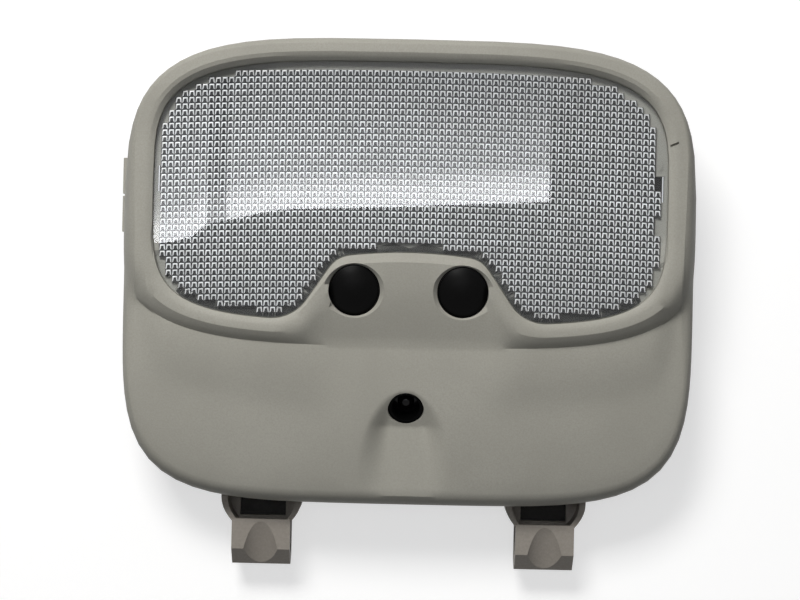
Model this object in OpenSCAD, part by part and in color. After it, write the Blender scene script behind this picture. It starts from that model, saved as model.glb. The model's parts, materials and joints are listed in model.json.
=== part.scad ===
/* [Bezel] */
// Width of the bezel
bezel_w = 190.8; // [186:0.2:200]
// Height of the bezel, top edge to bottom edge
bezel_h = 154.2; // [150:0.2:164]
// Squareness of the bezel's upper corners
bezel_top_power = 4.24; // [3.8:0.02:5]
// Squareness of the bezel's lower corners
bezel_low_power = 4.9; // [4.2:0.02:5.4]
// Height of the bezel's rear edge above the mounting face
skirt_z = 20; // [17:0.5:22]
// Wall thickness of the bezel
bezel_wall = 2.2; // [1.8:0.1:2.6]
// Width of the rounded outer edge, seen from the front
edge_roll_w = 5; // [3.5:0.1:6]
// Depth of the rounded outer edge
edge_roll_z = 6; // [4:0.1:7]
// Width of the tighter rounded edge along the top
brow_roll_w = 1.8; // [1.4:0.1:4]
// Height of the step from the raised pad down to the lower panel
pad_step = 5.8; // [2:0.1:6.4]
// Distance from the middle of the window down to the foot of the pad
pad_foot_below = 51.3; // [49:0.1:56]
// How far the pad's outline runs out past the bezel's sides
pad_over = 1.6; // [0:0.1:4]
// How far the pad stands above the lens at its sides
rim_rise = 1.4; // [0.6:0.05:1.8]
// How much more the pad stands above the lens at the top
brow_rise = 1.6; // [1:0.1:2.4]
// Radius of the lower panel's fall towards the bottom edge
panel_radius = 200; // [190:5:600]

/* [Lens] */
// Width of the rim beside the lens window
rim_w = 10.6; // [9.6:0.1:13]
// Width of the brow above the lens window
brow_w = 7.4; // [6.4:0.1:9]
// Half height of the window above its centre line
window_top = 42.2; // [38:0.1:43]
// Half height of the window below its centre line
window_low = 43.3; // [41:0.1:44]
// Height of the lens crown above the mounting face
lens_crown_z = 41.5; // [40:0.1:44]
// Radius of the lens dome
dome_radius = 850; // [700:10:1200]
// Thickness of the lens
lens_t = 2.6; // [2.2:0.1:3.2]
// Gap between the lens and its window
lens_gap = 0.4; // [0.3:0.05:0.6]
// Width of the plain flange round the prism field
lens_flange = 3; // [2.4:0.1:4]
// Spacing of the prism rows
prism_pitch = 2.2; // [1.8:0.1:3]
// Depth of the prism rows
prism_depth = 0.9; // [0.5:0.05:1.1]
// Width of the ledge that carries the lens
ledge_w = 4; // [3.6:0.1:4.6]
// Thickness of the ledge
ledge_t = 2; // [1.6:0.1:2.4]
// Length of the snap tabs
lens_tab_len = 8; // [5:0.5:10]

/* [Notch under the lens] */
// Distance from the middle of the window down to the notch's top edge
notch_below = 20.5; // [18:0.1:22]
// Distance from the middle to the centre of each upper corner of the notch
notch_shoulder = 18.5; // [17.5:0.1:20]
// Radius of the notch's arched top
notch_arch_r = 150; // [120:5:400]
// Radius of the notch's upper corners
notch_upper_r = 9; // [7:0.1:10]
// Half distance between the lowest points of the lens lobes
lobe_x = 45; // [44.5:0.1:48]
// Radius of the lobes' inner corners
lobe_r = 14; // [11:0.1:15]

/* [Buttons] */
// Distance of each button from the middle
button_x = 17.8; // [17:0.1:19]
// Distance from the notch's top edge down to the buttons
button_below = 12.5; // [12:0.1:14]
// Diameter of a button
button_d = 16.1; // [15:0.1:16.6]
// Radial gap between a button and its collar
button_gap = 0.4; // [0.3:0.05:0.5]
// Width of the bevel round each button's hole
button_bevel = 0.8; // [0.4:0.1:1]
// Height of a button's crown over its rim
button_crown = 2.4; // [1.5:0.1:3]
// Travel of a button
button_travel = 2.5; // [1.5:0.1:3]
// Wall of the collars that guide the buttons
collar_wall = 2; // [1.6:0.1:2.4]
// Height of the collars' lower end above the mounting face
collar_z = 30; // [29:0.1:31]
// Wire of the button springs
spring_wire = 0.7; // [0.5:0.05:0.9]
// Middle diameter of the button springs
spring_d = 8.4; // [7.6:0.1:9]

/* [Receiver] */
// Distance from the bezel's bottom edge up to the receiver hole
eye_above = 32.6; // [30:0.1:34]
// Diameter of the receiver hole
eye_bore = 12; // [10:0.1:12.6]
// Tilt of the receiver towards the bottom edge, in degrees
eye_tilt = 25; // [22:0.5:28]
// Half width of the scoop at the bottom edge
scoop_half = 16.5; // [13:0.1:18]
// Rise of the scoop's floor towards the bottom edge, as a slope
scoop_rise = 0; // [0:0.01:0.06]
// Wall of the receiver sleeve
sleeve_wall = 1.2; // [0.8:0.1:1.6]
// Length of the receiver sleeve
sleeve_len = 12; // [10:0.5:13]

/* [Rear housing] */
// Distance from the bezel's side in to the housing's side wall
housing_side = 11.4; // [9.5:0.1:12.5]
// Distance from the bezel's top edge down to the housing's top wall
housing_brow = 8.1; // [7:0.1:9]
// Distance from the bezel's bottom edge up to the housing's bottom wall
housing_sill = 13.1; // [11:0.1:14]
// Corner radius of the rear housing
housing_r = 24; // [20:0.5:30]
// Wall thickness of the rear housing
housing_wall = 2; // [1.6:0.1:2.4]
// Height of the housing's side walls
housing_z = 26; // [24:0.5:27]
// Diameter of the fixing holes
fixing_d = 4.8; // [4.2:0.1:5.4]
// Distance between the fixing holes
fixing_pitch = 104; // [100:0.5:108]
// Distance from the housing's top wall down to the fixing holes
fixing_below = 12; // [12:0.5:14]

/* [Lamp tray] */
// Height of the tray's floor above the mounting face
tray_z = 14.2; // [13.8:0.1:15]
// Wall thickness of the tray
tray_wall = 1.5; // [1.2:0.1:1.8]
// Distance of each bulb from the middle
bulb_x = 42; // [38:0.5:46]
// Diameter of a bulb
bulb_d = 10; // [9:0.1:10.6]

/* [Clips] */
// Distance from the housing's side wall in to each clip's middle
clip_in = 35.8; // [32:0.1:38]
// Width of a clip's tab
clip_w = 19.8; // [17:0.1:22]
// Width of a clip where it leaves the housing
clip_root_w = 27.4; // [25:0.1:30]
// How far the clips reach past the bezel's bottom edge
clip_reach = 22.8; // [20:0.1:26]
// Gap between the bezel's bottom edge and the clips' tabs
clip_gap = 6.6; // [5.4:0.1:9]
// Height of the clips' front face above the mounting face
clip_front_z = 16.5; // [15:0.1:18]
// Thickness of the clips
clip_t = 2.6; // [2:0.1:3]
// Radius of the groove in the clips' front face
clip_groove_r = 7; // [6:0.1:8]

/* [Hidden] */
$fn = 64;

// Slack that lets one solid run into another before they are joined or cut
bite = 0.5;
// Gap between pieces that lie against each other without touching
seat_gap = 0.1;

// Places that follow from the bezel's size
window_w = bezel_w - 2 * rim_w;
window_y = bezel_h / 2 - brow_w - window_top;
notch_y = window_y - notch_below;
pad_reach = bezel_w / 2 + pad_over;
pad_foot = window_y - pad_foot_below;
button_y = notch_y - button_below;
eye_y = eye_above - bezel_h / 2;
housing_w = bezel_w - 2 * housing_side;
housing_top = bezel_h / 2 - housing_brow;
housing_low = bezel_h / 2 - housing_sill;
fixing_y = housing_top - fixing_below;
clip_x = housing_w / 2 - clip_in;
clip_end = -bezel_h / 2 - clip_reach;
clip_lip = -bezel_h / 2 - clip_gap;

// Colours of the plastics and metals
grey_beige = "#98938b";
clear_lens = "#e6ebee";
lamp_white = "#eceae4";
near_black = "#161616";
dark_grey = "#3a3a38";
board_green = "#2f5b3a";
bright_steel = "#b9bcbf";
brass_tone = "#c2a24c";
dark_wine = "#241016";

// Heights
board_z = tray_z - 2.2;
board_t = 1.6;
strip_t = 0.5;
strip_w = 4;
switch_z = board_z + board_t;
switch_h = 8;
switch_w = 9;
plunger_h = 3.4;
plunger_d = 3.4;
plunger_in = 0.6;
stem_r = 2.4;
flange_t = 1.4;
web_z = collar_z - flange_t - 0.3;
tray_floor = tray_z + tray_wall;
ledge_drop = lens_t + ledge_t;
tray_gap = 0.4;
divider_h = 14;
sleeve_sink = 0.8;
through = 60;

// Outlines
function squircle(t, a, b, n) =
    [a * sign(cos(t)) * pow(abs(cos(t)), 2 / n), b * sign(sin(t)) * pow(abs(sin(t)), 2 / n)];
function level(p, a, b, n) = pow(abs(p.x) / a, n) + pow(abs(p.y) / b, n);
function clamp(v, lo, hi) = min(max(v, lo), hi);
function ease(v) = let(c = clamp(v, 0, 1)) c * c * (3 - 2 * c);

function bezel_level(p) =
    level(p, bezel_w / 2, bezel_h / 2, p.y > 0 ? bezel_top_power : bezel_low_power);
function pad_level(p) =
    let(below = window_y - 0.8 - pad_foot)
    let(above = bezel_h / 2 - window_y + 4)
    level([p.x, p.y - window_y + 0.8], pad_reach, p.y > window_y ? above : below, 4);

// Distance from p along the unit vector u to the bezel's outline or to the pad's outline
function to_bezel(p, u, near = 0, far = 140, k = 24) =
    let(mid = (near + far) / 2)
    k == 0 ? mid :
    bezel_level(p + u * mid) > 1 ? to_bezel(p, u, near, mid, k - 1) : to_bezel(p, u, mid, far, k - 1);
function to_pad(p, u, near = 0, far = 140, k = 24) =
    let(mid = (near + far) / 2)
    k == 0 ? mid :
    pad_level(p + u * mid) > 1 ? to_pad(p, u, near, mid, k - 1) : to_pad(p, u, mid, far, k - 1);

// The window: a squircle with a notch in its lower edge
window_top_power = 3.95;
window_low_power = 4.7;
lobe_t = acos(pow(lobe_x / (window_w / 2), window_low_power / 2));
lobe_y = window_y - window_low * pow(sin(lobe_t), 2 / window_low_power);
arch_turn = asin(notch_shoulder / (notch_arch_r - notch_upper_r));
arch_c = [0, notch_y - notch_arch_r];
upper_c = arch_c + (notch_arch_r - notch_upper_r) * [sin(arch_turn), cos(arch_turn)];
lower_c = [lobe_x, lobe_y + lobe_r];
notch_run = lower_c - upper_c;
notch_slope = asin((notch_upper_r + lobe_r) / norm(notch_run)) - atan2(notch_run.y, notch_run.x);
upper_end = upper_c + notch_upper_r * [sin(notch_slope), cos(notch_slope)];
lower_end = lower_c - lobe_r * [sin(notch_slope), cos(notch_slope)];

// Each station is a point of the window's edge with the direction in which the shell leaves it
top_steps = 32;
side_steps = 28;
flat_steps = 9;
corner_steps = 5;
slope_steps = 3;
top_stations = [for (i = [0:top_steps])
    let(t = 180 * i / top_steps)
    [squircle(t, window_w / 2, window_top, window_top_power) + [0, window_y], t]];
right_side = [for (i = [1:side_steps])
    let(t = -lobe_t * i / side_steps)
    [squircle(t, window_w / 2, window_low, window_low_power) + [0, window_y], -90 * i / side_steps]];
right_notch = concat(
    [for (i = [1:corner_steps])
        let(t = notch_slope * i / corner_steps)
        [lower_c - lobe_r * [sin(t), cos(t)], -90]],
    [for (i = [1:slope_steps - 1])
        [lower_end + (upper_end - lower_end) * i / slope_steps, -90]],
    [for (i = [0:corner_steps])
        let(t = notch_slope + (arch_turn - notch_slope) * i / corner_steps)
        [upper_c + notch_upper_r * [sin(t), cos(t)], -90]],
    [for (i = [1:flat_steps])
        let(t = arch_turn * (1 - i / flat_steps))
        [arch_c + notch_arch_r * [sin(t), cos(t)], -90]]);
right_stations = concat(right_side, right_notch);
left_stations = [for (s = right_stations) if (s[0].x > 0.01) [[-s[0].x, s[0].y], -180 - s[1]]];
stations = concat(top_stations, left_stations, [for (i = [len(right_stations) - 1:-1:0]) right_stations[i]]);
window = [for (s = stations) s[0]];
count = len(stations);

// A closed outline moved inwards by d, along the bisector at each point
function inset(path, d) =
    let(n = len(path))
    [for (i = [0:n - 1])
        let(a = path[(i + n - 1) % n])
        let(b = path[(i + 1) % n])
        let(u = (b - a) / norm(b - a))
        path[i] + d * [-u.y, u.x]];

// Heights of the surfaces over a point of the plan
function lens_z(p) = lens_crown_z - (p.x * p.x + pow(p.y - window_y, 2)) / (2 * dome_radius);
function rise(p) = rim_rise + brow_rise * ease((p.y - 35) / 30);
function pad_z(p) = lens_z(p) + rise(p);
function panel_z(p) =
    pad_z([0, pad_foot]) - pad_step - p.x * p.x / (2 * dome_radius)
    - pow(max(0, pad_foot - p.y), 2) / (2 * panel_radius);

// The scoop in front of the receiver
scoop_head = eye_y + eye_bore / 2;
scoop_turn = scoop_head - eye_bore;
scoop_end = -bezel_h / 2 + edge_roll_w;
scoop_top_z = panel_z([0, scoop_head]);
scoop_turn_z = scoop_top_z - eye_bore * tan(eye_tilt);
function scoop_width(y) =
    let(u = clamp((y - scoop_end) / (scoop_head - scoop_end), 0, 1))
    max(0.01, scoop_half * sqrt(1 - pow(u, 2.35)));
function scoop_floor(y) =
    y > scoop_turn ? scoop_top_z + (y - scoop_head) * tan(eye_tilt)
    : scoop_turn_z + (scoop_turn - y) * scoop_rise;
function scooped(p, z) =
    p.y > scoop_head ? z
    : z - (1 - ease((abs(p.x) / scoop_width(p.y) - 0.4) / 0.6)) * max(0, z - scoop_floor(p.y));

// Height of the shell at distance d from the window's edge, before its outer edge rolls over
lip_w = 3;
pad_curl = 1.6;
pad_run = 28;
function shell_z(p, d, foot) =
    let(soft = min(foot < 14 ? 0.5 * foot : 7 + 1.15 * (foot - 14), pad_run))
    let(s = clamp((d - foot + soft) / soft, 0, 1))
    let(lip = d < lip_w ? (rise(p) - 0.25) * pow(1 - d / lip_w, 2) : 0)
    let(base = pad_z(p) - lip)
    base + (panel_z(p) - base) * pow(s, pad_curl);

// The pad under the notch falls towards its foot, and the buttons' crowns tilt with it
function middle_z(x, y) = shell_z([x, y], notch_y - y, notch_y - pad_foot);
button_high = middle_z(button_x, button_y + button_d / 2);
button_low = middle_z(button_x, button_y - button_d / 2);
button_seat = (button_high + button_low) / 2;
button_tilt = atan((button_high - button_low) / button_d);

// Width of the rounded outer edge at height y of the plan: tight along the brow
function roll_at(y) = edge_roll_w - (edge_roll_w - brow_roll_w) * ease((y - 15) / 45);

// One ring of the closed section at each station: over the face, down the skirt and back inside
pad_rings = [0, 0.1, 0.3, 0.55, 0.72, 0.88, 1];
panel_rings = [0.03, 0.14, 0.25, 0.31, 0.37, 0.43, 0.49, 0.55, 0.62, 0.71, 0.8, 0.9, 1];
roll_rings = [18, 36, 54, 72, 90];
inner_roll_rings = [90, 45, 0];
inner_panel_rings = [0.88, 0.71, 0.55, 0.31, 0.08];
inner_pad_rings = [0.72];

ledge_in = inset(window, ledge_w);

function section(i) =
    let(w = stations[i][0])
    let(u = [cos(stations[i][1]), sin(stations[i][1])])
    let(reach = to_bezel(w, u))
    let(foot = to_pad(w, u))
    let(edge = w + u * reach)
    let(roll_w = roll_at(edge.y))
    let(roll_z = edge_roll_z * roll_w / edge_roll_w)
    let(roll_d = reach - roll_w)
    let(pad_d = min(foot, roll_d - 0.8))
    let(wall = bezel_wall)
    let(in_roll = min(max(reach - edge_roll_w, wall + 0.8), reach - wall - 0.8))
    let(in_pad = clamp(pad_d, wall + 0.3, in_roll - 0.3))
    let(edge_in = w + u * (reach - wall))
    concat(
        [for (f = pad_rings)
            let(d = pad_d * f)
            let(p = w + u * d)
            [p.x, p.y, shell_z(p, d, foot)]],
        [for (f = panel_rings)
            let(d = pad_d + (roll_d - pad_d) * f)
            let(p = w + u * d)
            [p.x, p.y, scooped(p, shell_z(p, d, foot))]],
        [for (t = roll_rings)
            let(d = roll_d + roll_w * sin(t))
            let(p = w + u * d)
            [p.x, p.y, scooped(p, shell_z(p, d, foot) - roll_z * (1 - cos(t)))]],
        [[edge.x, edge.y, skirt_z], [edge_in.x, edge_in.y, skirt_z]],
        [for (t = inner_roll_rings)
            let(d = in_roll + (reach - wall - in_roll) * sin(t))
            let(p = w + u * d)
            let(z = shell_z(p, d, foot) - (edge_roll_z - wall) * (1 - cos(t)))
            [p.x, p.y, scooped(p, z) - wall]],
        [for (f = inner_panel_rings)
            let(d = in_pad + (in_roll - in_pad) * f)
            let(p = w + u * d)
            [p.x, p.y, scooped(p, shell_z(p, d, foot)) - wall]],
        [for (f = inner_pad_rings)
            let(d = wall + (in_pad - wall) * f)
            let(p = w + u * d)
            [p.x, p.y, shell_z(p, d, foot) - wall]],
        [let(p = w + u * wall) [p.x, p.y, shell_z(p, wall, foot) - wall]],
        [let(p = w + u * wall) [p.x, p.y, lens_z(w) - ledge_drop]],
        [let(p = ledge_in[i]) [p.x, p.y, lens_z(p) - ledge_drop]],
        [let(p = ledge_in[i]) [p.x, p.y, lens_z(p) - lens_t - seat_gap]],
        [[w.x, w.y, lens_z(w) - lens_t - seat_gap]]);

module ring_solid(rows) {
    m = len(rows[0]);
    n = len(rows);
    polyhedron(
        points = [for (r = rows) each r],
        faces = [for (i = [0:n - 1])
            for (j = [0:m - 1])
                let(a = i * m + j)
                let(b = i * m + (j + 1) % m)
                let(c = ((i + 1) % n) * m + (j + 1) % m)
                let(d = ((i + 1) % n) * m + j)
                each [[a, c, b], [a, d, c]]]);
}

module mirrored() {
    children();
    mirror([1, 0, 0])
        children();
}

// Places a child at the left (side = -1) or right (side = 1) button
module at_button(side) {
    translate([side * button_x, button_y, 0])
        children();
}

// Places a child at the receiver hole, with its axis as +Z
module at_eye() {
    translate([0, eye_y, scoop_floor(eye_y)])
        rotate([eye_tilt, 0, 0])
            children();
}

// Points where the bezel is screwed to the housing
screw_in = 18;
screw_up = 14;
screw_spots = [for (side = [1, -1]) [side * (housing_w / 2 - screw_in), screw_up - housing_low]];
boss_foot = 12;
boss_d = 7.6;
screw_d = 2.9;
screw_bite = 12;
screw_head_d = 5.8;
screw_head_h = 2.4;
screw_sink = 0.6;
board_screw_d = 2;
board_screw_len = 7;

// Depth of the collars' upper end under the pad, ribs under the panel and lugs on the left skirt
collar_top = 1.6;
rib_x = 40;
rib_t = 1.2;
lug_rows = [3.8, -9];
lug_len = 12;
lug_h = 7;
lug_out = 1.2;
lug_drop = 4;

// A small pry notch in the rim at the lens's right edge
pry_x = window_w / 2 + 1;
pry_y = window_y + 17;
pry_len = 1.9;
pry_w = 0.7;
pry_turn = 24;

// Vents in the housing's floor, and the play round the plug's socket
vent_pitch = 9;
vent_w = 2;
vent_len = 18;
cut_play = 0.3;

// A rib under the lower panel, whose upper edge follows the shell
module panel_rib(x, y0, y1, low) {
    steps = 6;
    translate([x - rib_t / 2, 0, 0])
        rotate([90, 0, 90])
            linear_extrude(rib_t)
                polygon(concat(
                    [[y1, low], [y0, low]],
                    [for (i = [0:steps])
                        let(y = y0 + (y1 - y0) * i / steps)
                        [y, panel_z([x, y]) - bezel_wall + bite]]));
}

module bezel() {
    color(grey_beige)
    difference() {
        union() {
            ring_solid([for (i = [0:count - 1]) section(i)]);
            for (side = [-1, 1])
                at_button(side)
                    intersection() {
                        translate([0, 0, collar_z])
                            cylinder(d = button_d + 2 * (button_gap + collar_wall), h = through);
                        translate([0, 0, button_seat])
                            rotate([button_tilt, 0, 0])
                                translate([-button_d, -button_d, -through - collar_top])
                                    cube([2 * button_d, 2 * button_d, through]);
                    }
            for (s = screw_spots)
                translate([s.x, s.y, boss_foot])
                    cylinder(d = boss_d, h = panel_z(s) - bezel_wall + bite - boss_foot);
            mirrored()
                panel_rib(rib_x, housing_sill - 4 - bezel_h / 2, pad_foot - 8, housing_z);
            for (y = lug_rows)
                translate([-bezel_w / 2 - lug_out, window_y + y - lug_len / 2, skirt_z - lug_drop])
                    cube([lug_out + bezel_wall - seat_gap, lug_len, lug_h]);
        }
        for (side = [-1, 1])
            at_button(side) {
                cylinder(d = button_d + 2 * button_gap, h = through);
                translate([0, 0, button_seat])
                    rotate([button_tilt, 0, 0])
                        translate([0, 0, -2 * button_bevel])
                            cylinder(
                                d1 = button_d + 2 * button_gap - 2 * button_bevel,
                                d2 = button_d + 2 * button_gap + 4 * button_bevel,
                                h = 3 * button_bevel);
            }
        translate([pry_x, pry_y, pad_z([pry_x, pry_y]) - rise([pry_x, pry_y])])
            rotate([0, 0, pry_turn])
                translate([-1, -pry_w / 2, 0])
                    cube([pry_len + 1, pry_w, through]);
        at_eye()
            translate([0, 0, -sleeve_len - 2])
                cylinder(d = eye_bore, h = sleeve_len + through / 2);
        for (s = screw_spots)
            translate([s.x, s.y, boss_foot - 1])
                cylinder(d = screw_d + seat_gap, h = screw_bite + 1);
        mirrored()
            translate([tab_x - tab_hook - tab_play, tab_y - lens_tab_len / 2 - tab_play,
                lens_z([tab_x, tab_y]) - ledge_drop - 1])
                cube([tab_t + tab_hook + tab_play + seat_gap, lens_tab_len + 2 * tab_play, ledge_t + 2]);
    }
}

// Snap tabs at the lens's sides go through slots in the ledge and hook under it
tab_t = 1.8;
tab_hook = 1;
tab_play = 0.3;
tab_nose = 1.6;
tab_x = window_w / 2 - ledge_w + 0.8;
tab_y = window_y + 2.5;

// The lens is a plate that turns about an axis parallel to Y, deep below its crown
lens_turns = 14;
function lens_arc(y) = dome_radius - pow(y - window_y, 2) / (2 * dome_radius);
module turned(profile) {
    translate([0, 0, lens_crown_z - dome_radius])
        rotate([-90, 0, 0])
            rotate([0, 0, -90 - lens_turns / 2])
                rotate_extrude(angle = lens_turns, $fn = 256)
                    polygon(profile);
}

// A layer of the dome between two depths below the lens surface
module dome_layer(upper, lower) {
    steps = 16;
    y0 = window_y - window_low - 6;
    y1 = window_y + window_top + 6;
    ys = [for (i = [0:steps]) y0 + (y1 - y0) * i / steps];
    turned(concat(
        [for (y = ys) [lens_arc(y) - upper, y]],
        [for (i = [steps:-1:0]) [lens_arc(ys[i]) - lower, ys[i]]]));
}

// Rows of prisms on the inner face, each a steep flank and a slow one
module prism_rows() {
    rows = floor((window_top + window_low - 2 * lens_flange) / prism_pitch);
    y0 = window_y + (window_top - window_low - rows * prism_pitch) / 2;
    crest = lens_t + 0.02;
    turned(concat(
        [[lens_arc(y0) - crest - 2, y0 + rows * prism_pitch], [lens_arc(y0) - crest - 2, y0]],
        [for (i = [0:rows - 1])
            let(y = y0 + i * prism_pitch)
            each [
                [lens_arc(y) - crest, y],
                [lens_arc(y) - lens_t + prism_depth, y + 0.35 * prism_pitch]]],
        [let(y = y0 + rows * prism_pitch) [lens_arc(y) - crest, y]]));
}

module lens_tab() {
    under = lens_z([tab_x, tab_y]) - lens_t;
    hook_z = under - ledge_t - tab_play;
    translate([tab_x, tab_y + lens_tab_len / 2, 0])
        rotate([90, 0, 0])
            linear_extrude(lens_tab_len)
                polygon([[0, under + bite], [tab_t, under + bite], [tab_t, hook_z],
                    [tab_t + tab_hook, hook_z], [tab_t, hook_z - tab_nose], [0, hook_z - tab_nose]]);
}

module lens() {
    color(clear_lens, 0.4)
    union() {
        difference() {
            intersection() {
                dome_layer(0, lens_t);
                linear_extrude(60)
                    polygon(inset(window, lens_gap));
            }
            intersection() {
                prism_rows();
                linear_extrude(60)
                    polygon(inset(window, lens_gap + lens_flange));
            }
        }
        mirrored()
            lens_tab();
    }
}

module reflector() {
    outer = inset(window, ledge_w + tray_gap);
    inner = inset(window, ledge_w + tray_gap + tray_wall);
    color(lamp_white)
    difference() {
        intersection() {
            union() {
                difference() {
                    translate([0, 0, tray_z])
                        linear_extrude(through)
                            polygon(outer);
                    translate([0, 0, tray_floor])
                        linear_extrude(through)
                            polygon(inner);
                }
                translate([-tray_wall / 2, notch_y + ledge_w + 1, tray_z])
                    cube([tray_wall, window_y + window_top - notch_y - 2 * ledge_w - 2, divider_h]);
            }
            dome_layer(lens_t + 3 * seat_gap, lens_crown_z);
        }
        mirrored()
            translate([fixing_pitch / 2, fixing_y, 0])
                cylinder(d = fixing_d + 5, h = tray_floor + 1);
        mirrored()
            translate([bulb_x - prong_slot / 2, prong_y - 1, 0])
                cube([prong_slot, prong_w + 1.4, tray_floor + 1]);
    }
}

// A rectangle with round corners between two heights of the plan
module rounded_plan(half_w, low, top, r) {
    corners = [
        [half_w - r, top - r, 0],
        [r - half_w, top - r, 90],
        [r - half_w, r - low, 180],
        [half_w - r, r - low, 270]];
    polygon([for (c = corners)
        for (k = [0:8])
            let(t = c.z + 90 * k / 8)
            [c.x + r * cos(t), c.y + r * sin(t)]]);
}

// The circuit board lies between the buttons and the housing's bottom wall
board_half = 27;
board_top = button_y + 7;
board_low = 6 - housing_low;
board_in = 5;
board_spots = [for (x = [board_half - board_in, board_in - board_half])
    for (y = [button_y - 12.5, board_low + board_in + 1])
        [x, y]];

// The clips sit on tongues of the housing, round a peg
tongue_end = clip_lip + 0.6;
tongue_bend = -bezel_h / 2 + 0.6;
tongue_tip_w = clip_w - 0.6;
tongue_t = 4;
peg_y = -housing_low - 8;
peg_d = 5;
clip_start = -housing_low - 2;

// The cable plug's socket
connector_w = 22;
connector_h = 14;
connector_up = 30;
connector_y = connector_up - housing_low;
connector_wall = 1.6;
pin_pitch = 3;
pin_w = 0.8;
pin_foot = 3;

// Ribs across the housing's floor, one above the plug's socket and one under the lamp tray
floor_ribs_y = [connector_y + 26, window_y + 2.5];
floor_rib_h = 9;

module rear_housing() {
    color(dark_grey)
    difference() {
        union() {
            difference() {
                linear_extrude(housing_z)
                    rounded_plan(housing_w / 2, housing_low, housing_top, housing_r);
                translate([0, 0, housing_wall])
                    linear_extrude(housing_z)
                        rounded_plan(housing_w / 2 - housing_wall, housing_low - housing_wall,
                            housing_top - housing_wall, housing_r - housing_wall);
            }
            mirrored()
                translate([clip_x, 0, 0])
                    linear_extrude(tongue_t)
                        polygon([[-clip_root_w / 2, 1 - housing_low], [-clip_root_w / 2, tongue_bend],
                            [tongue_tip_w / -2, tongue_end], [tongue_tip_w / 2, tongue_end],
                            [clip_root_w / 2, tongue_bend], [clip_root_w / 2, 1 - housing_low]]);
            mirrored()
                translate([clip_x, peg_y, tongue_t - bite])
                    cylinder(d = peg_d, h = clip_t + bite);
            for (s = screw_spots)
                translate([s.x, s.y, 0])
                    cylinder(d = boss_d + 1.4, h = boss_foot - seat_gap);
            for (s = board_spots)
                translate([s.x, s.y, 0])
                    cylinder(d = 6, h = board_z);
            mirrored()
                translate([fixing_pitch / 2, fixing_y, 0])
                    cylinder(d = fixing_d + 4, h = tray_z - seat_gap);
            for (y = floor_ribs_y)
                translate([1 - housing_w / 2, y, 0])
                    cube([housing_w - 2, rib_t, floor_rib_h]);
            mirrored()
                translate([housing_w / 2 - housing_r, 1 - housing_low, 0])
                    cube([rib_t, housing_low + housing_top - 2, floor_rib_h]);
        }
        for (s = screw_spots)
            translate([s.x, s.y, -1]) {
                cylinder(d = screw_d + 0.5, h = boss_foot + 1);
                cylinder(d = screw_head_d + 0.6, h = screw_sink + screw_head_h + 1);
            }
        for (s = board_spots)
            translate([s.x, s.y, board_z - board_screw_len - 1])
                cylinder(d = board_screw_d + seat_gap, h = board_screw_len + 2);
        mirrored()
            translate([fixing_pitch / 2, fixing_y, -1])
                cylinder(d = fixing_d, h = through);
        translate([-connector_w / 2 - cut_play, connector_y - connector_h / 2 - cut_play, -1])
            cube([connector_w + 2 * cut_play, connector_h + 2 * cut_play, housing_wall + 2]);
        for (i = [-4:4])
            translate([i * vent_pitch - vent_w / 2, fixing_y - 13, -1])
                cube([vent_w, vent_len, housing_wall + 2]);
    }
}

module circuit_board() {
    color(board_green)
    difference() {
        translate([-board_half, board_low, board_z])
            cube([2 * board_half, board_top - board_low, board_t]);
        for (s = board_spots)
            translate([s.x, s.y, 0])
                cylinder(d = board_screw_d + 0.4, h = through);
    }
}

module board_screws() {
    color(bright_steel)
    for (s = board_spots)
        translate([s.x, s.y, switch_z]) {
            translate([0, 0, -board_t - board_screw_len])
                cylinder(d = board_screw_d, h = board_t + board_screw_len + seat_gap);
            cylinder(d = 2 * board_screw_d, h = 0.7 * board_screw_d);
        }
}

module housing_screws() {
    color(bright_steel)
    for (s = screw_spots)
        translate([s.x, s.y, screw_sink]) {
            cylinder(d = screw_head_d, h = screw_head_h);
            cylinder(d = screw_d, h = boss_foot + screw_bite - screw_sink - 2);
        }
}

// A button: domed cap with a skirt, a retaining flange and the stem that works the switch
module button(side) {
    r = button_d / 2;
    crown_r = (r * r + button_crown * button_crown) / (2 * button_crown);
    stem_z = switch_z + switch_h + plunger_h;
    core_r = spring_d / 2 + 1;
    roof_z = button_seat - 5;
    cap_z = roof_z + 1.5;
    skirt_t = 1.5;
    flange_r = r + 1.6;
    rim_sink = 0.7;
    color(near_black)
    at_button(side)
        union() {
            rotate_extrude()
                polygon([[0, stem_z], [stem_r, stem_z], [stem_r, web_z], [core_r, web_z],
                    [core_r, roof_z], [r - skirt_t, roof_z], [r - skirt_t, web_z],
                    [flange_r, web_z], [flange_r, web_z + flange_t], [r, web_z + flange_t],
                    [r, cap_z], [0, cap_z]]);
            intersection() {
                translate([0, 0, cap_z - bite])
                    cylinder(r = r, h = through);
                translate([0, 0, button_seat])
                    rotate([button_tilt, 0, 0])
                        translate([0, 0, button_crown - rim_sink - crown_r])
                            sphere(r = crown_r);
            }
        }
}

// A wire coil about the Z axis between two heights, as a swept tube with closed ends
module button_spring(side) {
    turns = 3.5;
    per_turn = 14;
    sides = 6;
    steps = round(turns * per_turn);
    low = switch_z + switch_h + spring_wire / 2;
    high = web_z - spring_wire / 2;
    ring = [for (i = [0:steps])
        let(a = 360 * i / per_turn)
        let(z = low + (high - low) * ease(i / steps))
        [for (k = [0:sides - 1])
            let(b = 360 * k / sides)
            let(rr = spring_d / 2 + spring_wire / 2 * cos(b))
            [rr * cos(a), rr * sin(a), z + spring_wire / 2 * sin(b)]]];
    color(bright_steel)
    at_button(side)
        polyhedron(
            points = [for (r = ring) each r],
            faces = concat(
                [[for (k = [sides - 1:-1:0]) k]],
                [for (i = [0:steps - 1])
                    for (k = [0:sides - 1])
                        let(n = (k + 1) % sides)
                        [i * sides + k, i * sides + n, (i + 1) * sides + n, (i + 1) * sides + k]],
                [[for (k = [0:sides - 1]) steps * sides + k]]));
}

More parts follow.
